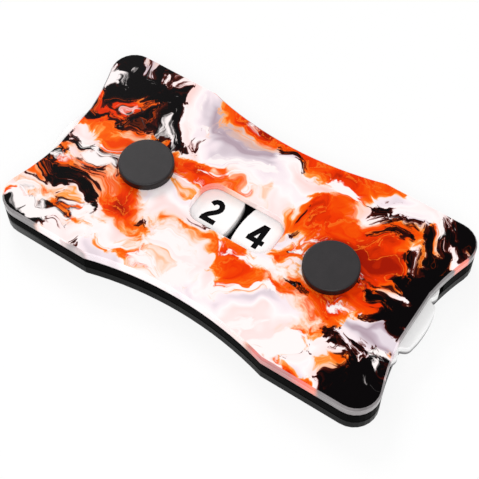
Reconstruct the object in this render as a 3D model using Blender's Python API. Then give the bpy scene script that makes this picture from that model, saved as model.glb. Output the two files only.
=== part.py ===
"""A pocket life counter: two ten-number dials turning between bonded acrylic sheets.

+X runs along the counter, +Y points from the front edge to the back edge, which is up for the
reader, and +Z is up. The origin is the middle of the underside. All sizes are in metres.
"""

import math

import bmesh
import bpy
from mathutils import Matrix, Vector
from mathutils.geometry import delaunay_2d_cdt

# Sheets, from the underside up
BASE_THICKNESS = 0.0033
SPACER_THICKNESS = 0.0033
TOP_THICKNESS = 0.0027
BOND_GAP = 0.0003
EDGE_BREAK = 0.0002

# Dials
DIAL_RADIUS = 0.02675
DIAL_GAP = 0.0015
DIAL_FACE_CLEARANCE = 0.0003
LOBE_COUNT = 10
NOTCH_DEPTH = 0.0020
NOTCH_WIDTH = 0.0034
LOBE_CORNER_RADIUS = 0.0020
NOTCH_ROOT_RADIUS = 0.0006

# Engraved numerals
NUMERAL_HEIGHT = 0.0073
NUMERAL_WIDTH = 0.0045
NUMERAL_STROKE = 0.00145
TENS_RIM_DISTANCE = 0.00625
ONES_RIM_DISTANCE = 0.00565
ENGRAVING_DEPTH = 0.0003
NUMERAL_MERGE = 0.00002
TENS_SHOWN = 2
ONES_SHOWN = 4

# Plate outline
SPACER_WALL = 0.0020
POCKET_CLEARANCE = 0.0005
LOBE_REACH = 0.00325
EAR_REACH = 0.0036
EAR_RADIUS = 0.0063
END_HOLLOW_RADIUS = 0.0618
WAIST_DEPTH = 0.0036
WAIST_END_INSET = 0.0014
RECESS_WIDTH = 0.0164
RECESS_BLEND = 0.0018

# Spacer cuts
MOUTH_WIDTH = 0.0264
WEB_OPENING = 0.0170

# Reading window
WINDOW_LENGTH = 0.0245
WINDOW_WIDTH = 0.0121
WINDOW_CORNER_RADIUS = 0.0043

# Axles
BARREL_DIAMETER = 0.0060
RUNNING_CLEARANCE = 0.0003
SEAT_GAP = 0.0003
FLANGE_DIAMETER = 0.0100
FLANGE_THICKNESS = 0.0011
FLANGE_SINK = 0.0002
SLOT_WIDTH = 0.0011
SLOT_DEPTH = 0.0006
BORE_FLOOR = 0.0009
BARREL_SHORTFALL = 0.0004
SCREW_DIAMETER = 0.0032
SCREW_LENGTH = 0.0048
HEAD_DIAMETER = 0.0084
HEAD_HEIGHT = 0.0014
SOCKET_ACROSS_FLATS = 0.0025
SOCKET_DEPTH = 0.0009

# Caps
CAP_DIAMETER = 0.0143
CAP_HEIGHT = 0.0024
CAP_EDGE_RADIUS = 0.0005

# How far a cutter runs past what it cuts
OVERRUN = 0.0010

# Steps of round work
POCKET_STEPS = 96
ROUND_STEPS = 48
SMALL_ROUND_STEPS = 32
ARC_STEPS = 8
BOW_STEPS = 8
FILLET_STEPS = 4
SMOOTH_ANGLE = math.radians(35)

# Places that follow from the sizes above
AXLE_X = DIAL_RADIUS + DIAL_GAP / 2
HALF_WIDTH = DIAL_RADIUS + POCKET_CLEARANCE + SPACER_WALL
RECESS_X = AXLE_X + DIAL_RADIUS - LOBE_REACH
EAR_X = RECESS_X + EAR_REACH
SPACER_Z = BASE_THICKNESS + BOND_GAP
TOP_Z = SPACER_Z + SPACER_THICKNESS + BOND_GAP
PLATE_TOP_Z = TOP_Z + TOP_THICKNESS
DIAL_Z = BASE_THICKNESS + DIAL_FACE_CLEARANCE
DIAL_THICKNESS = TOP_Z - BASE_THICKNESS - 2 * DIAL_FACE_CLEARANCE
HOLE_RADIUS = BARREL_DIAMETER / 2 + RUNNING_CLEARANCE


def material(name, colour, roughness, metallic=0.0):
    """A Principled material in the part's own colour."""
    made = bpy.data.materials.new(name)
    made.use_nodes = True
    shader = made.node_tree.nodes["Principled BSDF"]
    shader.inputs["Base Color"].default_value = (*colour, 1.0)
    shader.inputs["Roughness"].default_value = roughness
    shader.inputs["Metallic"].default_value = metallic
    made.diffuse_color = (*colour, 1.0)
    return made


def new_object(name, bm, finish, location=(0, 0, 0)):
    """Turns a bmesh into a named object with outward faces."""
    bmesh.ops.recalc_face_normals(bm, faces=bm.faces)
    rounded = [face.smooth for face in bm.faces]
    mesh = bpy.data.meshes.new(name)
    bm.to_mesh(mesh)
    bm.free()
    mesh.set_sharp_from_angle(angle=SMOOTH_ANGLE)
    mesh.polygons.foreach_set("use_smooth", rounded)
    obj = bpy.data.objects.new(name, mesh)
    obj.location = location
    bpy.context.collection.objects.link(obj)
    if finish is not None:
        mesh.materials.append(finish)
    return obj


def cut(obj, cutter):
    """Cuts a hidden guide solid out of an object."""
    cutter.hide_render = True
    cutter.display_type = "WIRE"
    modifier = obj.modifiers.new(cutter.name, "BOOLEAN")
    modifier.operation = "DIFFERENCE"
    modifier.object = cutter
    modifier.solver = "EXACT"


# Outlines: lists of 2-D points, counter-clockwise

def polar(radius, angle):
    return Vector((radius * math.cos(angle), radius * math.sin(angle)))


def arc(centre, radius, start, end, steps):
    """Points on a circular arc, both ends included."""
    return [Vector(centre) + polar(radius, start + (end - start) * i / steps) for i in range(steps + 1)]


def rounded_corner(before, corner, after, radius):
    """The arc that rounds the corner of two straight runs."""
    back = (before - corner).normalized()
    forth = (after - corner).normalized()
    half = back.angle(forth) / 2
    middle = (back + forth).normalized()
    centre = corner + middle * (radius / math.sin(half))
    first = corner + back * (radius / math.tan(half)) - centre
    last = corner + forth * (radius / math.tan(half)) - centre
    start = math.atan2(first.y, first.x)
    return arc(centre, radius, start, start - first.angle_signed(last), FILLET_STEPS)


def inset(points, distance):
    """The outline moved inward by a distance, with mitred corners; outward where it is negative."""
    moved = []
    count = len(points)
    for i in range(count):
        before, here, after = points[i - 1], points[i], points[(i + 1) % count]
        a = (here - before).normalized()
        b = (after - here).normalized()
        left_a = Vector((-a.y, a.x))
        left_b = Vector((-b.y, b.x))
        middle = (left_a + left_b).normalized()
        moved.append(here + middle * (distance / middle.dot(left_a)))
    return moved


def quarter_outline():
    """The plate's outline from the middle of the back edge to the middle of the right end."""
    waist_x = AXLE_X - WAIST_END_INSET
    waist_radius = (waist_x ** 2 + WAIST_DEPTH ** 2) / (2 * WAIST_DEPTH)
    waist_centre = Vector((0, HALF_WIDTH - WAIST_DEPTH + waist_radius))
    waist_angle = math.asin(waist_x / waist_radius)
    bottom = -math.pi / 2
    points = arc(waist_centre, waist_radius, bottom, bottom + waist_angle, ARC_STEPS)

    ear = Vector((EAR_X - EAR_RADIUS, HALF_WIDTH - EAR_RADIUS))
    hollow_x = ear.x + math.sqrt((END_HOLLOW_RADIUS + EAR_RADIUS) ** 2 - ear.y ** 2)
    hollow = Vector((hollow_x, 0))
    towards = hollow - ear
    points += arc(ear, EAR_RADIUS, math.pi / 2, math.atan2(towards.y, towards.x), ARC_STEPS)

    blend_top = RECESS_WIDTH / 2 + RECESS_BLEND / 2
    start = math.atan2(-towards.y, -towards.x)
    end = math.pi - math.asin(blend_top / END_HOLLOW_RADIUS)
    points += arc(hollow, END_HOLLOW_RADIUS, start, end, ARC_STEPS)[1:]

    step = points[-1].x - RECESS_X
    for i in range(1, FILLET_STEPS + 1):
        along = i / FILLET_STEPS
        eased = (1 + math.cos(math.pi * along)) / 2
        points.append(Vector((RECESS_X + step * eased, blend_top - RECESS_BLEND * along)))
    return points


def plate_outline():
    """The whole outline, mirrored from one quarter, counter-clockwise."""
    quarter = quarter_outline()
    right_back = quarter[::-1]
    left_back = [Vector((-p.x, p.y)) for p in quarter[1:]]
    left_front = [Vector((-p.x, -p.y)) for p in quarter[::-1]]
    right_front = [Vector((p.x, -p.y)) for p in quarter[1:]]
    return right_back + left_back + left_front + right_front


def rounded_rectangle(length, width, radius):
    """A rectangle with round corners about the origin."""
    x, y = length / 2 - radius, width / 2 - radius
    points = []
    for turn, (sx, sy) in enumerate(((1, 1), (-1, 1), (-1, -1), (1, -1))):
        start = turn * math.pi / 2
        points += arc((sx * x, sy * y), radius, start, start + math.pi / 2, ARC_STEPS)
    return points


def dial_outline():
    """Ten lobes with round corners, parted by shallow notches; the first lobe is centred on +X."""
    pitch = 2 * math.pi / LOBE_COUNT
    half_lobe = pitch / 2 - math.asin(NOTCH_WIDTH / 2 / DIAL_RADIUS)
    root_radius = DIAL_RADIUS - NOTCH_DEPTH
    points = []
    for lobe in range(LOBE_COUNT):
        middle = lobe * pitch
        root = polar(root_radius, middle - pitch / 2)
        next_root = polar(root_radius, middle + pitch / 2)
        corner = polar(DIAL_RADIUS, middle - half_lobe)
        next_corner = polar(DIAL_RADIUS, middle + half_lobe)
        rim = arc((0, 0), DIAL_RADIUS, middle - half_lobe, middle + half_lobe, ARC_STEPS)
        points += rounded_corner(root, corner, rim[1], LOBE_CORNER_RADIUS)
        points += rim[2:-2]
        points += rounded_corner(rim[-2], next_corner, next_root, LOBE_CORNER_RADIUS)
        beyond = polar(DIAL_RADIUS, middle + pitch - half_lobe)
        points += rounded_corner(next_corner, next_root, beyond, NOTCH_ROOT_RADIUS)
    return points


# Solids

def stack(rings, smooth=True):
    """A closed solid through rings of 3-D points, with flat ends and sides shaded smooth or flat."""
    bm = bmesh.new()
    made = [[bm.verts.new(p) for p in ring] for ring in rings]
    for low, high in zip(made[:-1], made[1:]):
        for i in range(len(low)):
            j = (i + 1) % len(low)
            bm.faces.new((low[i], low[j], high[j], high[i])).smooth = smooth
    bm.faces.new(made[0][::-1])
    bm.faces.new(made[-1])
    return bm


def at_height(points, z):
    return [Vector((p.x, p.y, z)) for p in points]


def sheet(points, low, high):
    """A cut sheet whose edges are broken top and bottom."""
    small = inset(points, EDGE_BREAK)
    return stack([at_height(small, low), at_height(points, low + EDGE_BREAK),
                  at_height(points, high - EDGE_BREAK), at_height(small, high)])


def opening(points, low, high):
    """A cutter for an opening through a sheet, which breaks the opening's edges too."""
    wide = inset(points, -EDGE_BREAK)
    return stack([at_height(wide, low - OVERRUN), at_height(wide, low),
                  at_height(points, low + EDGE_BREAK), at_height(points, high - EDGE_BREAK),
                  at_height(wide, high), at_height(wide, high + OVERRUN)])


def box(x_range, y_range, z_range):
    """A plain box between two corners."""
    corners = [Vector((x_range[0], y_range[0])), Vector((x_range[1], y_range[0])),
               Vector((x_range[1], y_range[1])), Vector((x_range[0], y_range[1]))]
    return stack([at_height(corners, z_range[0]), at_height(corners, z_range[1])], smooth=False)


def turned(profile, steps, x=0):
    """A solid turned about an upright axis through (x, 0), from a profile of (radius, height)."""
    return stack([at_height(arc((x, 0), r, 0, 2 * math.pi, steps)[:-1], z) for r, z in profile])


def cylinder(x, radius, low, high, steps):
    """A plain cylinder standing at (x, 0)."""
    return turned([(radius, low), (radius, high)], steps, x)


# Numerals: each is up to three strokes, given by its middle line

def bow(centre, reach, start, end):
    """Points on an elliptic bow; angles in degrees."""
    return [Vector((centre.x + reach.x * p.x, centre.y + reach.y * p.y))
            for p in arc((0, 0), 1, math.radians(start), math.radians(end), BOW_STEPS)]


def neck(start, start_pull, end_pull, end):
    """A smooth curve between two points, drawn out by two pulling points."""
    points = []
    for i in range(1, BOW_STEPS + 1):
        t = i / BOW_STEPS
        u = 1 - t
        points.append(u ** 3 * start + 3 * u * u * t * start_pull + 3 * u * t * t * end_pull + t ** 3 * end)
    return points


def numeral_strokes():
    """For 0 to 9, the strokes as (points, closed) about the numeral's middle."""
    h = (NUMERAL_HEIGHT - NUMERAL_STROKE) / 2
    w = (NUMERAL_WIDTH - NUMERAL_STROKE) / 2
    top = NUMERAL_HEIGHT / 2 / h
    side = NUMERAL_WIDTH / 2 / w

    # centre and reach of each oval and bend, as shares of w and h
    oval_shares = {"zero": (0, 0, 1, 1), "six": (0, -0.42, 1, 0.58), "nine": (0, 0.42, 1, 0.58),
                   "eight_top": (0, 0.52, 0.88, 0.48), "eight_foot": (0, -0.47, 1, 0.53)}
    bend_shares = {"two": (0, 0.49, 0.92, 0.51), "three_top": (0, 0.50, 0.90, 0.50),
                   "three_foot": (0, -0.47, 1, 0.53), "five": (0, -0.38, 1, 0.62),
                   "six_tail": (0.75, -0.42, 1.72, 1.42)}
    bend_degrees = {"two": (171, -32), "three_top": (158, -96), "three_foot": (101, -158),
                    "five": (136, -156), "six_tail": (172, 99)}
    # points of each straight stroke and of the two's neck, as shares of w and h
    line_shares = {"one_stem": ((0.36, -top), (0.36, top)), "one_flag": ((-0.72, 0.52), (0.40, 0.98)),
                   "two_neck": ((0.35, -0.18), (-0.78, -0.42), (-0.90, -0.97)),
                   "two_foot": ((-1.41, -1), (1.41, -1)), "four_stem": ((0.53, -top), (0.53, top)),
                   "four_bar": ((-1.59, -0.49), (1.59, -0.49)), "four_brow": ((-0.15, 1), (0.40, 1)),
                   "four_slope": ((0.21, 1.135), (-1.120, -0.400)),
                   "five_flag": ((1.12, 0.99), (-0.72, 0.99), (-0.94, -0.02)),
                   "seven_bar": ((-side, 1), (side, 1)),
                   "seven_leg": ((0.97, 0.98), (0.10, 0.05), (-0.42, -top))}

    def scaled(x_share, y_share):
        return Vector((w * x_share, h * y_share))

    def oval(name):
        x, y, wide, high = oval_shares[name]
        upper = bow(scaled(x, y), scaled(wide, high), 0, 180)
        lower = bow(scaled(x, y), scaled(wide, high), 180, 360)
        return (upper + lower[1:-1], True)

    def bend(name):
        x, y, wide, high = bend_shares[name]
        return bow(scaled(x, y), scaled(wide, high), *bend_degrees[name])

    def line(name):
        return [scaled(*pair) for pair in line_shares[name]]

    two = bend("two")
    two += neck(two[-1], *line("two_neck"))
    six_tail = bend("six_tail")
    return [
        [oval("zero")],
        [(line("one_stem"), False), (line("one_flag"), False)],
        [(two, False), (line("two_foot"), False)],
        [(bend("three_top"), False), (bend("three_foot"), False)],
        [(line(f"four_{name}"), False) for name in ("stem", "bar", "brow", "slope")],
        [(line("five_flag"), False), (bend("five"), False)],
        [oval("six"), (six_tail, False)],
        [(line("seven_bar"), False), (line("seven_leg"), False)],
        [oval("eight_top"), oval("eight_foot")],
        [oval("nine"), ([-p for p in six_tail], False)],
    ]


def stroke_quads(points, closed):
    """The four-sided fields that a stroke covers on both sides of its middle line."""
    count = len(points)
    left, right = [], []
    for i, here in enumerate(points):
        before = points[i - 1] if closed or i > 0 else here * 2 - points[1]
        after = points[(i + 1) % count] if closed or i < count - 1 else here * 2 - before
        arriving = (here - before).normalized()
        leaving = (after - here).normalized()
        side = Vector((-arriving.y, arriving.x))
        across = (side + Vector((-leaving.y, leaving.x))).normalized()
        reach = NUMERAL_STROKE / 2 / across.dot(side)
        left.append(here + across * reach)
        right.append(here - across * reach)
    ends = [(i, (i + 1) % count) for i in range(count if closed else count - 1)]
    return [(left[i], right[i], right[j], left[j]) for i, j in ends]


def numeral_field(strokes):
    """The strokes of one numeral merged into triangles, as (points, triangles)."""
    points, quads = [], []
    for middle_line, closed in strokes:
        for quad in stroke_quads(middle_line, closed):
            quads.append([len(points) + i for i in range(len(quad))])
            points += quad
    merged = delaunay_2d_cdt(points, [], quads, 1, NUMERAL_MERGE)
    flat_points, triangles, sources = merged[0], merged[2], merged[5]
    return flat_points, [t for t, source in zip(triangles, sources) if source]


def add_numeral(bm, strokes, place, low, high):
    """Adds one numeral to a cutter as a closed solid."""
    points, triangles = numeral_field(strokes)
    sides = {}
    for triangle in triangles:
        for a, b in zip(triangle, triangle[1:] + triangle[:1]):
            sides[(a, b)] = (b, a)
    used = sorted({i for triangle in triangles for i in triangle})
    floor = {i: bm.verts.new(place @ Vector((points[i].x, points[i].y, low))) for i in used}
    roof = {i: bm.verts.new(place @ Vector((points[i].x, points[i].y, high))) for i in used}
    for a, b, c in triangles:
        bm.faces.new((floor[c], floor[b], floor[a]))
        bm.faces.new((roof[a], roof[b], roof[c]))
    for (a, b), reverse in sides.items():
        if reverse not in sides:
            bm.faces.new((floor[a], floor[b], roof[b], roof[a]))


def engrave(dial, name, shown, shown_angle, rim_distance):
    """Cuts the numerals into a dial, so that the shown one stands upright in the window."""
    pitch = 2 * math.pi / LOBE_COUNT
    bm = bmesh.new()
    for lobe, strokes in enumerate(numeral_strokes()[:LOBE_COUNT]):
        place = (Matrix.Rotation(shown_angle + (shown - lobe) * pitch, 4, "Z")
                 @ Matrix.Translation((DIAL_RADIUS - rim_distance, 0, 0))
                 @ Matrix.Rotation(shown_angle, 4, "Z"))
        add_numeral(bm, strokes, place, DIAL_THICKNESS - ENGRAVING_DEPTH, DIAL_THICKNESS + OVERRUN)
    cut(dial, new_object(f"{name}_numerals", bm, None, dial.location))


# Pieces

def make_plate(name, finish, low, high, hole_low):
    """One full-outline sheet with its two axle holes, cut from hole_low up."""
    plate = new_object(name, sheet(plate_outline(), low, high), finish)
    for side in (-1, 1):
        hole = arc((side * AXLE_X, 0), HOLE_RADIUS, 0, 2 * math.pi, SMALL_ROUND_STEPS)[:-1]
        cut(plate, new_object(f"{name}_axle_hole_{side}", opening(hole, hole_low, high), None))
    return plate


def make_base(finish):
    """The underside sheet, counterbored for the barrels' flanges."""
    depth = FLANGE_SINK + FLANGE_THICKNESS + SEAT_GAP
    base = make_plate("base_plate", finish, 0, BASE_THICKNESS, depth)
    radius = FLANGE_DIAMETER / 2 + RUNNING_CLEARANCE
    for side in (-1, 1):
        sink = cylinder(side * AXLE_X, radius, -OVERRUN, depth, SMALL_ROUND_STEPS)
        cut(base, new_object(f"base_counterbore_{side}", sink, None))
    return base


def make_top(finish):
    """The printed clear sheet with the reading window."""
    top = make_plate("top_plate", finish, TOP_Z, PLATE_TOP_Z, TOP_Z)
    window = rounded_rectangle(WINDOW_LENGTH, WINDOW_WIDTH, WINDOW_CORNER_RADIUS)
    cut(top, new_object("window_cutter", opening(window, TOP_Z, PLATE_TOP_Z), None))
    return top


def make_spacer(name, side, finish):
    """One side piece of the middle layer: the outline less the dial pockets and the other side."""
    low, high = SPACER_Z, SPACER_Z + SPACER_THICKNESS
    z_range = (low - OVERRUN, high + OVERRUN)
    spacer = new_object(name, sheet(plate_outline(), low, high), finish)
    for end in (-1, 1):
        pocket = cylinder(end * AXLE_X, DIAL_RADIUS + POCKET_CLEARANCE, *z_range, POCKET_STEPS)
        cut(spacer, new_object(f"{name}_pocket_{end}", pocket, None))
        x_range = (min(end * AXLE_X, end * (EAR_X + OVERRUN)), max(end * AXLE_X, end * (EAR_X + OVERRUN)))
        mouth = box(x_range, (-MOUTH_WIDTH / 2, MOUTH_WIDTH / 2), z_range)
        cut(spacer, new_object(f"{name}_mouth_{end}", mouth, None))
    web = box((-AXLE_X, AXLE_X), (-WEB_OPENING / 2, WEB_OPENING / 2), z_range)
    cut(spacer, new_object(f"{name}_web", web, None))
    other = (min(0, -side * (HALF_WIDTH + OVERRUN)), max(0, -side * (HALF_WIDTH + OVERRUN)))
    rest = box((-EAR_X - OVERRUN, EAR_X + OVERRUN), other, z_range)
    cut(spacer, new_object(f"{name}_other_side", rest, None))
    return spacer


def make_dial(name, side, finish, shown, rim_distance):
    """A number dial; its origin is on its axle."""
    dial = new_object(name, sheet(dial_outline(), 0, DIAL_THICKNESS), finish, (side * AXLE_X, 0, DIAL_Z))
    hole = arc((0, 0), HOLE_RADIUS, 0, 2 * math.pi, SMALL_ROUND_STEPS)[:-1]
    cut(dial, new_object(f"{name}_bore", opening(hole, 0, DIAL_THICKNESS), None, dial.location))
    engrave(dial, name, shown, 0 if side < 0 else math.pi, rim_distance)
    return dial


def make_barrel(name, side, finish):
    """The flanged sleeve that a dial turns on, slotted underneath."""
    flange_top = FLANGE_SINK + FLANGE_THICKNESS
    top = PLATE_TOP_Z - BARREL_SHORTFALL
    flange = FLANGE_DIAMETER / 2
    barrel = BARREL_DIAMETER / 2
    bore = SCREW_DIAMETER / 2 + RUNNING_CLEARANCE
    profile = [(flange - EDGE_BREAK, FLANGE_SINK), (flange, FLANGE_SINK + EDGE_BREAK), (flange, flange_top),
               (barrel, flange_top), (barrel, top - EDGE_BREAK), (barrel - EDGE_BREAK, top), (bore, top),
               (bore, flange_top + BORE_FLOOR)]
    obj = new_object(name, turned(profile, SMALL_ROUND_STEPS), finish, (side * AXLE_X, 0, 0))
    slot = box((-flange - OVERRUN, flange + OVERRUN), (-SLOT_WIDTH / 2, SLOT_WIDTH / 2),
               (-OVERRUN, FLANGE_SINK + SLOT_DEPTH))
    cut(obj, new_object(f"{name}_slot", slot, None, obj.location))
    return obj


def make_screw(name, side, finish):
    """The screw that clamps the sheets from above, with a hexagon socket."""
    low = PLATE_TOP_Z + SEAT_GAP
    high = low + HEAD_HEIGHT
    head = HEAD_DIAMETER / 2
    shank = SCREW_DIAMETER / 2
    tip = low - SCREW_LENGTH
    profile = [(shank - EDGE_BREAK, tip), (shank, tip + EDGE_BREAK), (shank, low), (head, low),
               (head, high - EDGE_BREAK), (head - EDGE_BREAK, high)]
    obj = new_object(name, turned(profile, SMALL_ROUND_STEPS), finish, (side * AXLE_X, 0, 0))
    hexagon = cylinder(0, SOCKET_ACROSS_FLATS / math.sqrt(3), high - SOCKET_DEPTH, high + OVERRUN, 6)
    cut(obj, new_object(f"{name}_socket", hexagon, None, obj.location))
    return obj


def make_cap(name, side, finish):
    """The round cover over a screw head, hollow underneath."""
    low = PLATE_TOP_Z + SEAT_GAP
    high = low + CAP_HEIGHT
    outer = CAP_DIAMETER / 2
    inner = HEAD_DIAMETER / 2 + SEAT_GAP
    roof = low + HEAD_HEIGHT + SEAT_GAP
    foot = [(outer - EDGE_BREAK, low), (outer, low + EDGE_BREAK)]
    centre = (outer - CAP_EDGE_RADIUS, high - CAP_EDGE_RADIUS)
    edge = [(p.x, p.y) for p in arc(centre, CAP_EDGE_RADIUS, 0, math.pi / 2, FILLET_STEPS)]
    profile = [(inner, roof), (inner, low)] + foot + edge
    return new_object(name, turned(profile, ROUND_STEPS), finish, (side * AXLE_X, 0, 0))


def main():
    for obj in list(bpy.data.objects):
        bpy.data.objects.remove(obj)

    black = material("black_acrylic", (0.015, 0.015, 0.017), 0.25)
    smoke = material("dark_grey_acrylic", (0.035, 0.035, 0.038), 0.3)
    printed = material("printed_clear_acrylic", (0.86, 0.66, 0.60), 0.12)
    white = material("white_acrylic", (0.93, 0.93, 0.92), 0.3)
    steel = material("steel", (0.55, 0.56, 0.58), 0.35, metallic=1.0)
    rubber = material("matt_dark_grey", (0.045, 0.043, 0.045), 0.6)

    make_base(smoke)
    make_spacer("front_spacer", -1, black)
    make_spacer("back_spacer", 1, black)
    make_top(printed)
    counters = (("tens", -1, TENS_SHOWN, TENS_RIM_DISTANCE), ("ones", 1, ONES_SHOWN, ONES_RIM_DISTANCE))
    for name, side, shown, rim_distance in counters:
        make_dial(f"{name}_dial", side, white, shown, rim_distance)
        make_barrel(f"{name}_axle_barrel", side, steel)
        make_screw(f"{name}_axle_screw", side, steel)
        make_cap(f"{name}_cap", side, rubber)


main()
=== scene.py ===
"""Looks of a two-dial life counter: a printed clear acrylic sheet over two white number dials."""

import math

import bmesh
import bpy
from mathutils import Matrix, Vector


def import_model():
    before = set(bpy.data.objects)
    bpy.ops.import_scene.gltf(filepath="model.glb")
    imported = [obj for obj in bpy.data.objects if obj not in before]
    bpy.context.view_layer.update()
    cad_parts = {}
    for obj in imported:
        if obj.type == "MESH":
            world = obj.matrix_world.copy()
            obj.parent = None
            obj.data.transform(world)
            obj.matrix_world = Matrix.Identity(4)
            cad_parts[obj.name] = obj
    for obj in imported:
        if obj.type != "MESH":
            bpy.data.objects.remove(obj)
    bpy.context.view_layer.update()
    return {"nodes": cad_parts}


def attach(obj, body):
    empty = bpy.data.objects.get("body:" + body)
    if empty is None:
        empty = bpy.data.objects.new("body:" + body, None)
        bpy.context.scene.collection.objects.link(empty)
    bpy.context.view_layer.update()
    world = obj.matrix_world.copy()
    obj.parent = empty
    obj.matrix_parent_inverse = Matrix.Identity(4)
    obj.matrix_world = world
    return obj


MM = 0.001

# Camera, from the photograph's outline
IMAGE_SIDE = 479
SENSOR = 36.0
FOCAL_PIXELS = 1283.6
CAMERA_AZIMUTH = 0.60344
CAMERA_ELEVATION = 1.03490
CAMERA_ROLL = -0.02157
CAMERA_DISTANCE = 0.31679
CAMERA_TARGET = (0.00409, -0.00485, 0.0099)
CAMERA_CLIP = (0.01, 20.0)

# Places in the CAD frame, in millimetres
AXLE_X = 27.5
TOP_SHEET = (7.2, 9.9)
NUMERAL_FLOOR = (6.55, 6.89)
NUMERAL_RING = (16.3, 24.2)
PRINT_ENDS = (10, 52)  # black pools gather from the first to the second distance off the middle
FOOT_HEIGHT = 0.9  # how far up the grey foot of the clear sheet's edge fades
EDGE_SHADE_HEIGHTS = (5.7, 4.3)  # painted shade: a cut dial's edge darkens from the first to the second height
PAINTED_SHEEN_EAR = (-35, -50)  # painted sheen: the base sheet turns paler from the first to the second x

# The upward part of a surface's normal
BEVEL_MIDDLE = 0.55
BEVEL_REACH = 0.33  # the bevels of the numerals lie within this of their middle, and stay white
WALL_MOST = 0.5  # a dial's face is a wall below this
CAP_WALL = (0.7, 0.4)  # a cap's face turns from top to wall, where shade is painted, between these
TOP_LEAST = 0.99  # the clear sheet's face is its top above this

# The ink film on the top sheet
FILM = (0.02 * MM, 0.03 * MM)  # how far it goes below and above the sheet's top face
FILM_MARGIN = 0.17 * MM
FILM_SHIFT = Vector((-0.1 * MM, 0.27 * MM))
LEAST_MARGIN = 0.03 * MM
SAME_PLACE = 1e-5
KEYS_PER_PLACE = 10  # points that fall on one step of a grid this much finer are one point

# The print: noise that pushes it about, as size, reach and offset in millimetres
WIDE_WARP = (26, 26, (11, 47, 0))
CLOSE_WARP = (7, 6, (5, 90, 0))

# The print's layers: offset, angle that features run at, stretch along it, size, detail, roughness
WASH_LAYER = ((0, 0, 0), 0.5, 1.8, 16, 3, 0.5)
FLAME_LAYER = ((131, 20, 0), 0.55, 1.7, 17, 7, 0.56)
RIDGE_LAYER = ((31, 61, 0), 0.9, 1.5, 7, 6, 0.6)
POOL_LAYER = ((300, 60, 0), -0.45, 1.6, 15, 9, 0.62)
FOAM_LAYER = ((15, 140, 0), 0.3, 2.2, 9, 8, 0.62)

# Where each layer begins and ends, as values of its noise
BORDER_BLUR = 0.01  # half of a sharp border's width
SOFT_BLUR = 5.0  # how much wider the soft print's borders are
SOFT_DETAIL_LESS = 7  # how much less detail the noise of the soft print has
FLAME_BORDER = (0.495, 0.515)
MIST_SIZE = 24
MIST_RANGE = (0.48, 0.62)
MIST_SPREAD = 0.05  # how much mist widens the border of the flames
CREST_RANGE = (0.016, 0.003)  # the distance from a ridge's line
EMBER_RANGE = (0.50, 0.60)  # the heat at which crests glow
EMBER_SHARE = 0.75
POOL_BORDER = 0.555
POOL_IN_MIDDLE = -0.105
POOL_AT_ENDS = 0.19  # how much more the ends have than the middle
GLOW_RANGE = (0.68, 0.57)  # the depth of the black pools at which embers show through
GLOW_SHARE = 0.85
FOAM_RANGE = (0.585, 0.65)

# Display colours, from 0 to 255
WASH_COLOURS = [
    (0.17, (226, 214, 222)),
    (0.22, (196, 178, 190)),
    (0.28, (178, 156, 168)),
    (0.34, (218, 204, 212)),
    (0.40, (244, 228, 234)),
    (0.48, (255, 246, 246)),
    (0.58, (254, 226, 224)),
    (0.72, (248, 190, 180)),
]
FLAME_COLOURS = [
    (0.49, (254, 208, 176)),
    (0.52, (252, 160, 74)),
    (0.55, (248, 98, 8)),
    (0.63, (238, 54, 2)),
    (0.73, (160, 24, 4)),
]
POOL_COLOURS = [
    (0.545, (150, 44, 12)),
    (0.570, (60, 14, 8)),
    (0.60, (6, 4, 5)),
]
EMBER = (255, 176, 60)
GLOW = (240, 86, 14)
FOAM = (253, 243, 242)
SHEET_HAZE = (230, 222, 224)
SHEET_FOOT = (96, 84, 86)
# painted shade at the foot of a dial's cut edge
EDGE_SHADE_WHITE = (112, 110, 112)
# painted shade on the caps' walls
CAP_WALL_SHADE_GREY = (9, 7, 8)

# Surfaces
PRINT_SHINE = 0.02
SHEET_SHINE = 0.35
HAZE_SHARE = 0.5
FOOT_SHARE = 0.45
# how strong the painted shade at the foot of a dial's edge is
EDGE_SHADE_SHARE = 0.9
DIAL_SHINE = 0.03
CAP_SHINE = 0.28
ROUGHNESS_SPREAD = 0.2  # a surface's roughness varies by this much
PATCHES = (0.3, 0.7)  # the values of noise at which patches have their two colours
STEEL_TONES = ((0.52, 0.51, 0.50, 1), (0.66, 0.65, 0.63, 1))
FLOOR_TONES = ((0.96, 0.96, 0.96, 1), (0.98, 0.98, 0.98, 1))
# pale: how many tones lighter the base sheet's left end is painted, as a painted sheen
BASE_SHEET = {"tone": 10, "roughness": 0.25, "shine": 0.02, "pale": 74}
MIDDLE_SHEET = {"tone": 8, "roughness": 0.3, "shine": 0.002}

# Light
WORLD_LIGHT = 0.68
LIGHTS = {  # place, size, power
    "key": ((0.34, -0.46, 0.76), 0.5, 3.9),
    "sheen": ((-0.60, 0.46, 0.70), 0.4, 3.0),
}
EDGE_PAINTED_GLOW = 0.2  # painted glow: emission that lightens the clear sheet's cut edges, in place of light carried through the sheet
FLOOR_GLOW = 0.8
FLOOR_RADIUS = 1.5
FLOOR_SIDES = 64
FLOOR_DROP = 0.0001  # it lies this far under the counter


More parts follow.
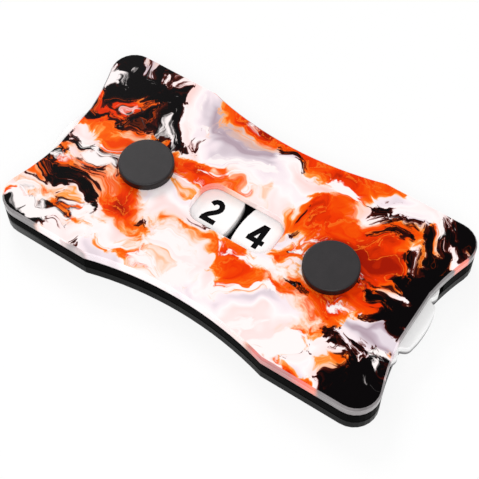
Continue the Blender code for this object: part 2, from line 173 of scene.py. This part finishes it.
class Graph:
    """A material's node tree with short calls to fill it."""

    def __init__(self, name, **surface):
        self.material = bpy.data.materials.new(name)
        self.material.use_nodes = True
        self.tree = self.material.node_tree
        self.tree.nodes.clear()
        self.output = self.tree.nodes.new("ShaderNodeOutputMaterial")
        self.surface = self.node("BsdfPrincipled", surface)
        self.tree.links.new(self.surface.outputs[0], self.output.inputs["Surface"])

    def feed(self, socket, value):
        if isinstance(value, bpy.types.NodeSocket):
            self.tree.links.new(value, socket)
        else:
            socket.default_value = value

    def node(self, kind, inputs=None, **settings):
        made = self.tree.nodes.new("ShaderNode" + kind)
        for key, value in settings.items():
            setattr(made, key, value)
        for key, value in (inputs or {}).items():
            self.feed(made.inputs[key], value)
        return made

    def coat(self, **inputs):
        """Feeds the surface's sockets; a _ in a name stands for a space."""
        for key, value in inputs.items():
            self.feed(self.surface.inputs[key.replace("_", " ")], value)

    def math(self, operation, *values):
        made = self.node("Math", operation=operation)
        for socket, value in zip(made.inputs, values):
            self.feed(socket, value)
        return made.outputs[0]

    def vector(self, operation, *values, scale=None):
        made = self.node("VectorMath", operation=operation)
        for socket, value in zip(made.inputs, values):
            self.feed(socket, value)
        if scale is not None:
            self.feed(made.inputs["Scale"], scale)
        return made.outputs["Value" if operation == "LENGTH" else "Vector"]

    def place(self):
        """Object coordinates in millimetres."""
        return self.vector("SCALE", self.node("TexCoord").outputs["Object"], scale=1 / MM)

    def axes(self, vector):
        return self.node("SeparateXYZ", {0: vector}).outputs

    def combine(self, x=0.0, y=0.0, z=0.0):
        return self.node("CombineXYZ", {0: x, 1: y, 2: z}).outputs[0]

    def off_axle(self, x, y, axle):
        """The distance from a vertical axle at that x."""
        return self.vector("LENGTH", self.combine(self.math("SUBTRACT", x, axle), y))

    def upright(self):
        """The upward part of the surface's normal: 1 on a top, 0 on a wall."""
        return self.axes(self.node("NewGeometry").outputs["Normal"])[2]

    def noise(self, vector, size, detail=2.0, roughness=0.5, flat=False):
        """A noise node whose features are about size millimetres across."""
        return self.node(
            "TexNoise",
            {"Vector": vector, "Scale": 1 / size, "Detail": detail, "Roughness": roughness},
            noise_dimensions="2D" if flat else "3D",
        )

    def cloud(self, vector, size, detail=2.0, roughness=0.5, flat=False):
        """A noise node's value."""
        return self.noise(vector, size, detail, roughness, flat).outputs["Fac"]

    def step(self, value, low, high):
        """0 at low, 1 at high and smooth between them; high may be the smaller."""
        made = self.node(
            "MapRange",
            {"Value": value, "From Min": low, "From Max": high},
            interpolation_type="SMOOTHSTEP",
        )
        return made.outputs[0]

    def between(self, value, low, high):
        """1 between low and high, and 0 outside."""
        above = self.math("GREATER_THAN", value, low)
        return self.math("MULTIPLY", above, self.math("LESS_THAN", value, high))

    def mix(self, share, first, second):
        made = self.node("Mix", data_type="RGBA", blend_type="MIX")
        self.feed(made.inputs[0], share)
        self.feed(made.inputs[6], first)
        self.feed(made.inputs[7], second)
        return made.outputs[2]

    def ramp(self, value, stops):
        """Linear colours along a value."""
        made = self.node("ValToRGB", {0: value})
        made.color_ramp.interpolation = "LINEAR"
        points = made.color_ramp.elements
        while len(points) < len(stops):
            points.new(0.5)
        for point, (position, colour) in zip(points, stops):
            point.position = position
            point.color = colour
        return made.outputs[0]

    def tones(self, value, stops):
        """Display colours along a value."""
        return self.ramp(value, [(position, srgb(*colour)) for position, colour in stops])

    def mottled(self, size, detail, roughness, first, second):
        """Two display colours in soft patches."""
        patches = self.cloud(self.place(), size, detail, roughness)
        return self.tones(patches, list(zip(PATCHES, (first, second))))

    def rough(self, value, least):
        """Roughness from least up, by that value."""
        return self.math("MULTIPLY_ADD", value, ROUGHNESS_SPREAD, least)

    def bump(self, height, strength, distance):
        made = self.node("Bump", {"Strength": strength, "Distance": distance, "Height": height})
        self.feed(self.surface.inputs["Normal"], made.outputs[0])


def srgb(red, green, blue):
    """A display colour from 0 to 255 as the renderer's linear colour."""
    def linear(value):
        value /= 255
        return value / 12.92 if value <= 0.04045 else ((value + 0.055) / 1.055) ** 2.4

    return (linear(red), linear(green), linear(blue), 1.0)


# ---------------------------------------------------------------------------------- materials


def warped(graph, place, size, reach, offset):
    """The place pushed about by noise of that size, by up to reach millimetres."""
    moved = graph.vector("ADD", place, offset)
    swirl = graph.noise(moved, size, 3, 0.55, flat=True).outputs["Color"]
    push = graph.vector("SUBTRACT", swirl, (0.5, 0.5, 0.5))
    return graph.vector("ADD", place, graph.vector("SCALE", push, scale=reach))


def streaks(graph, place, layer, detail_less=0):
    """One layer of the print: noise turned by an angle and squeezed so that it runs along it."""
    offset, turn, stretch, size, detail, roughness = layer
    along = graph.node(
        "Mapping",
        {
            "Vector": graph.vector("ADD", place, offset),
            "Rotation": (0, 0, -turn),
            "Scale": (1 / stretch, 1, 1),
        },
        vector_type="POINT",
    )
    return graph.cloud(along.outputs[0], size, detail - detail_less, roughness, flat=True)


def print_colour(graph, soft=False):
    """An abstract poured-ink pattern: pale washes, orange flows and black pools.

    The soft one has wide borders and no fine detail, for the sheet's cut edges.
    """
    place = graph.place()
    x, _, _ = graph.axes(place)
    loose = warped(graph, place, *WIDE_WARP)
    fine = loose if soft else warped(graph, loose, *CLOSE_WARP)
    less = SOFT_DETAIL_LESS if soft else 0
    blur = BORDER_BLUR * (SOFT_BLUR if soft else 1.0)

    wash = graph.tones(streaks(graph, loose, WASH_LAYER), WASH_COLOURS)

    heat = streaks(graph, fine, FLAME_LAYER, less)
    flame = graph.tones(heat, FLAME_COLOURS)
    mist = graph.step(graph.cloud(place, MIST_SIZE, flat=True), *MIST_RANGE)
    low = graph.math("MULTIPLY_ADD", mist, -MIST_SPREAD, FLAME_BORDER[0] - blur)
    high = graph.math("MULTIPLY_ADD", mist, MIST_SPREAD, FLAME_BORDER[1] + blur)
    colour = graph.mix(graph.step(heat, low, high), wash, flame)
    if not soft:
        ridge = graph.math("SUBTRACT", streaks(graph, fine, RIDGE_LAYER), 0.5)
        crest = graph.step(graph.math("ABSOLUTE", ridge), *CREST_RANGE)
        ember = graph.math("MULTIPLY", crest, graph.step(heat, *EMBER_RANGE))
        colour = graph.mix(graph.math("MULTIPLY", ember, EMBER_SHARE), colour, srgb(*EMBER))

    ends = graph.step(graph.math("ABSOLUTE", x), *PRINT_ENDS)
    gathered = graph.math("MULTIPLY_ADD", ends, POOL_AT_ENDS, POOL_IN_MIDDLE)
    depth = graph.math("ADD", streaks(graph, fine, POOL_LAYER, less), gathered)
    border = graph.step(depth, POOL_BORDER - blur, POOL_BORDER + blur)
    colour = graph.mix(border, colour, graph.tones(depth, POOL_COLOURS))
    if soft:
        return colour

    glow = graph.math("MULTIPLY", ember, graph.step(depth, *GLOW_RANGE))
    colour = graph.mix(graph.math("MULTIPLY", glow, GLOW_SHARE), colour, srgb(*GLOW))
    foam = graph.step(streaks(graph, fine, FOAM_LAYER), *FOAM_RANGE)
    return graph.mix(foam, colour, srgb(*FOAM))


def printed_film():
    graph = Graph("printed_film", **{"Roughness": 0.3, "Specular IOR Level": PRINT_SHINE})
    graph.coat(Base_Color=print_colour(graph))
    graph.bump(graph.cloud(graph.place(), 0.35), 0.12, 0.03 * MM)
    return graph.material


def clear_acrylic():
    """The clear sheet as its cut edges show it: the print's colours gone pale, grey at the foot,
    with a painted glow.
    """
    graph = Graph("clear_acrylic", **{"Specular IOR Level": SHEET_SHINE})
    place = graph.place()
    _, _, z = graph.axes(place)
    layer = graph.cloud(graph.vector("MULTIPLY", place, (0.06, 0.06, 1)), 0.55, 3, 0.6)
    haze = graph.math("MULTIPLY", layer, HAZE_SHARE)
    pale = graph.mix(haze, print_colour(graph, soft=True), srgb(*SHEET_HAZE))
    low = TOP_SHEET[0]
    foot = graph.math("SUBTRACT", 1.0, graph.step(z, low, low + FOOT_HEIGHT))
    shaded = graph.mix(graph.math("MULTIPLY", foot, FOOT_SHARE), pale, srgb(*SHEET_FOOT))
    # painted glow: the cut edges give off light in their own colour
    graph.coat(Base_Color=shaded, Emission_Color=shaded, Emission_Strength=EDGE_PAINTED_GLOW)
    graph.coat(Roughness=graph.rough(layer, 0.08))
    graph.bump(layer, 0.10, 0.04 * MM)
    return graph.material


def black_acrylic(name, tone, roughness, shine, pale=0):
    """Black sheet with a streaked edge; pale is how many tones lighter its left end is painted, as
    a painted sheen.
    """
    graph = Graph(name, **{"Specular IOR Level": shine})
    place = graph.place()
    shade = graph.mottled(12, 3, 0.5, (tone - 3,) * 3, (tone + 5, tone + 4, tone + 4))
    # painted sheen: the left end is mixed towards a paler grey
    if pale:
        x, _, _ = graph.axes(place)
        shade = graph.mix(graph.step(x, *PAINTED_SHEEN_EAR), shade, srgb(*(tone + pale,) * 3))
    streak = graph.cloud(graph.vector("MULTIPLY", place, (1, 1, 0.05)), 0.45, 4, 0.6)
    graph.coat(Base_Color=shade, Roughness=graph.rough(streak, roughness - ROUGHNESS_SPREAD / 2))
    graph.bump(streak, 0.25, 0.05 * MM)
    return graph.material


def dial_white(name, axle):
    """White acrylic with black paint in the engraved numerals and painted shade at the foot of its
    cut edge.
    """
    graph = Graph(name, **{"Specular IOR Level": DIAL_SHINE})
    place = graph.place()
    x, y, z = graph.axes(place)
    upright = graph.upright()

    inside = graph.between(graph.off_axle(x, y, axle), *NUMERAL_RING)
    sunk = graph.between(z, *NUMERAL_FLOOR)
    off_bevel = graph.math("ABSOLUTE", graph.math("SUBTRACT", upright, BEVEL_MIDDLE))
    square = graph.math("GREATER_THAN", off_bevel, BEVEL_REACH)
    paint = graph.math("MULTIPLY", graph.math("MULTIPLY", inside, sunk), square)

    # painted shade: the cut edge's wall darkens towards its foot
    wall = graph.math("LESS_THAN", graph.math("ABSOLUTE", upright), WALL_MOST)
    edge_shade_mask = graph.math("MULTIPLY", wall, graph.step(z, *EDGE_SHADE_HEIGHTS))
    edge_shade = graph.math("MULTIPLY", edge_shade_mask, EDGE_SHADE_SHARE)
    white = graph.mottled(9, 3, 0.55, (248, 248, 248), (252, 252, 251))
    white = graph.mix(edge_shade, white, srgb(*EDGE_SHADE_WHITE))
    black = graph.mottled(0.8, 3, 0.6, (5, 5, 6), (11, 10, 11))
    graph.coat(Base_Color=graph.mix(paint, white, black))

    scuff = graph.cloud(graph.vector("MULTIPLY", place, (1, 1, 0.1)), 0.6, 4, 0.6)
    matt_paint = graph.math("MULTIPLY", paint, 0.25)
    graph.coat(Roughness=graph.math("ADD", graph.rough(scuff, 0.14), matt_paint))
    graph.bump(scuff, 0.08, 0.03 * MM)
    return graph.material


def matt_grey():
    """The caps' dark plastic, with painted shade darkening its walls."""
    graph = Graph("matt_grey_cap", **{"Specular IOR Level": CAP_SHINE})
    shade = graph.mottled(4, 4, 0.6, (26, 23, 25), (34, 30, 32))
    # painted shade: the walls are mixed towards a darker grey than the top
    wall = graph.step(graph.math("ABSOLUTE", graph.upright()), *CAP_WALL)
    shade = graph.mix(wall, shade, srgb(*CAP_WALL_SHADE_GREY))
    grain = graph.cloud(graph.place(), 0.22, 3, 0.6)
    graph.coat(Base_Color=shade, Roughness=graph.rough(grain, 0.36))
    graph.bump(grain, 0.35, 0.06 * MM)
    return graph.material


def turned_steel(name, axle):
    """Steel with fine rings about its axle."""
    graph = Graph(name, Metallic=1.0)
    x, y, z = graph.axes(graph.place())
    rings = graph.cloud(graph.combine(graph.off_axle(x, y, axle), z), 0.12, 3, 0.6)
    tone = graph.ramp(rings, list(zip(PATCHES, STEEL_TONES)))
    graph.coat(Base_Color=tone, Roughness=graph.rough(rings, 0.2))
    graph.bump(rings, 0.2, 0.03 * MM)
    return graph.material


# ---------------------------------------------------------------------------------- pieces


def dress(node, material):
    """Puts the material in each of the node's material slots."""
    slots = node.data.materials
    if not slots:
        slots.append(material)
    for index in range(len(slots)):
        slots[index] = material


def border_loops(plate, height):
    """The closed borders of a mesh's top face, each a list of 2-D points."""
    points, sides = {}, {}
    for face in plate.data.polygons:
        corners = [plate.data.vertices[i].co for i in face.vertices]
        low = min(corner.z for corner in corners) < height - SAME_PLACE
        if face.normal.z < TOP_LEAST or low:
            continue
        keys = []
        for corner in corners:
            key = tuple(round(value / SAME_PLACE * KEYS_PER_PLACE) for value in corner.xy)
            points[key] = Vector(corner.xy)
            keys.append(key)
        sides.update(dict.fromkeys(zip(keys, keys[1:] + keys[:1])))
    onward = {a: b for a, b in sides if (b, a) not in sides}
    loops = []
    while onward:
        start, here = onward.popitem()
        loop = [start]
        while here != start:
            loop.append(here)
            here = onward.pop(here)
        loops.append([points[key] for key in loop])
    return loops


def drawn_in(loop):
    """An outer border moved in by the print's margin, which its shift makes wider on one side."""
    moved = []
    for before, here, after in zip(loop[-1:] + loop[:-1], loop, loop[1:] + loop[:1]):
        along = (after - before).normalized()
        outward = Vector((along.y, -along.x))
        moved.append(here - outward * max(LEAST_MARGIN, FILM_MARGIN - outward.dot(FILM_SHIFT)))
    return moved


def print_layer(plate):
    """The ink film on the clear sheet, a few hundredths of a millimetre thick."""
    height = TOP_SHEET[1] * MM
    loops = sorted(border_loops(plate, height), key=lambda loop: max(point.x for point in loop))
    loops[-1] = drawn_in(loops[-1])
    film = bmesh.new()
    edges = []
    for loop in loops:
        corners = [film.verts.new((point.x, point.y, height - FILM[0])) for point in loop]
        edges += [film.edges.new(pair) for pair in zip(corners, corners[1:] + corners[:1])]
    bmesh.ops.triangle_fill(
        film, use_beauty=True, use_dissolve=False, edges=edges, normal=(0, 0, 1)
    )
    raised = bmesh.ops.extrude_face_region(film, geom=list(film.faces))
    top = [item for item in raised["geom"] if isinstance(item, bmesh.types.BMVert)]
    bmesh.ops.translate(film, verts=top, vec=(0, 0, sum(FILM)))
    bmesh.ops.recalc_face_normals(film, faces=film.faces)
    return piece_of("top_print", film)


def piece_of(name, grid):
    """A new object in the scene from a bmesh, which it frees."""
    mesh = bpy.data.meshes.new(name)
    grid.to_mesh(mesh)
    grid.free()
    piece = bpy.data.objects.new(name, mesh)
    bpy.context.scene.collection.objects.link(piece)
    return piece


# ---------------------------------------------------------------------------------- stage


def seen_rays(tree):
    """A socket that is 1 for what the camera sees, straight, in a reflection or through glass."""
    path = tree.nodes.new("ShaderNodeLightPath")
    seen = path.outputs["Is Camera Ray"]
    for kind in ("Is Glossy Ray", "Is Transmission Ray"):
        either = tree.nodes.new("ShaderNodeMath")
        either.operation = "MAXIMUM"
        tree.links.new(seen, either.inputs[0])
        tree.links.new(path.outputs[kind], either.inputs[1])
        seen = either.outputs[0]
    return seen


def make_world():
    """Plain white where it is seen, also in reflections, and a dimmer light on the scene."""
    world = bpy.data.worlds.new("studio")
    world.use_nodes = True
    tree = world.node_tree
    tree.nodes.clear()
    output = tree.nodes.new("ShaderNodeOutputWorld")
    plain = tree.nodes.new("ShaderNodeBackground")
    plain.inputs["Strength"].default_value = WORLD_LIGHT
    seen = tree.nodes.new("ShaderNodeBackground")
    seen.inputs["Color"].default_value = (1, 1, 1, 1)
    seen.inputs["Strength"].default_value = 1.0
    mix = tree.nodes.new("ShaderNodeMixShader")
    tree.links.new(seen_rays(tree), mix.inputs[0])
    tree.links.new(plain.outputs[0], mix.inputs[1])
    tree.links.new(seen.outputs[0], mix.inputs[2])
    tree.links.new(mix.outputs[0], output.inputs["Surface"])
    bpy.context.scene.world = world


def make_floor():
    """A white floor that glows where it is seen, so that its shadows stay soft and pale."""
    disc = bmesh.new()
    bmesh.ops.create_circle(disc, cap_ends=True, segments=FLOOR_SIDES, radius=FLOOR_RADIUS)
    floor = piece_of("floor", disc)
    floor.location.z = -FLOOR_DROP
    graph = Graph("pale_floor", **{"Roughness": 0.9, "Specular IOR Level": 0.0})
    cloud = graph.cloud(graph.place(), 60)
    graph.coat(Base_Color=graph.ramp(cloud, list(zip(PATCHES, FLOOR_TONES))))
    glow = graph.node("Emission", {"Color": (1, 1, 1, 1), "Strength": 1.0})
    share = graph.math("MULTIPLY", seen_rays(graph.tree), FLOOR_GLOW)
    both = graph.node("MixShader", {0: share, 1: graph.surface.outputs[0], 2: glow.outputs[0]})
    graph.feed(graph.output.inputs["Surface"], both.outputs[0])
    dress(floor, graph.material)


def area_light(name, place, side, power):
    """A round lamp aimed at the counter."""
    data = bpy.data.lights.new(name, "AREA")
    data.shape = "DISK"
    data.size = side
    data.energy = power
    lamp = bpy.data.objects.new(name, data)
    lamp.location = place
    lamp.rotation_euler = (-Vector(place)).to_track_quat("-Z", "Y").to_euler()
    bpy.context.scene.collection.objects.link(lamp)


def make_camera():
    azimuth, elevation, roll = CAMERA_AZIMUTH, CAMERA_ELEVATION, CAMERA_ROLL
    back = Vector((
        math.sin(azimuth) * math.cos(elevation),
        -math.cos(azimuth) * math.cos(elevation),
        math.sin(elevation),
    ))
    right = (-back).cross(Vector((0, 0, 1))).normalized()
    up = right.cross(-back)
    turned_right = right * math.cos(roll) + up * math.sin(roll)
    turned_up = -right * math.sin(roll) + up * math.cos(roll)
    data = bpy.data.cameras.new("camera")
    data.sensor_width = SENSOR
    data.lens = FOCAL_PIXELS * SENSOR / IMAGE_SIDE
    data.clip_start, data.clip_end = CAMERA_CLIP
    camera = bpy.data.objects.new("camera", data)
    place = Matrix.Translation(Vector(CAMERA_TARGET) + back * CAMERA_DISTANCE)
    rotation = Matrix((turned_right, turned_up, back)).transposed()
    camera.matrix_world = place @ rotation.to_4x4()
    bpy.context.scene.collection.objects.link(camera)
    bpy.context.scene.camera = camera


def main():
    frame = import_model()
    nodes = frame["nodes"]

    make_camera()

    dress(nodes["base_plate"], black_acrylic("base_acrylic", **BASE_SHEET))
    middle = black_acrylic("middle_acrylic", **MIDDLE_SHEET)
    dress(nodes["front_spacer"], middle)
    dress(nodes["back_spacer"], middle)
    dress(nodes["top_plate"], clear_acrylic())
    cap = matt_grey()
    for name, side in (("tens", -1), ("ones", 1)):
        dress(nodes[name + "_dial"], dial_white(name + "_dial_white", side * AXLE_X))
        dress(nodes[name + "_cap"], cap)
        steel = turned_steel(name + "_steel", side * AXLE_X)
        dress(nodes[name + "_axle_barrel"], steel)
        dress(nodes[name + "_axle_screw"], steel)

    film = print_layer(nodes["top_plate"])
    dress(film, printed_film())
    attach(film, "case")

    make_world()
    make_floor()
    for name, (place, side, power) in LIGHTS.items():
        area_light(name, place, side, power)

    bpy.context.scene.view_settings.view_transform = "Standard"


main()
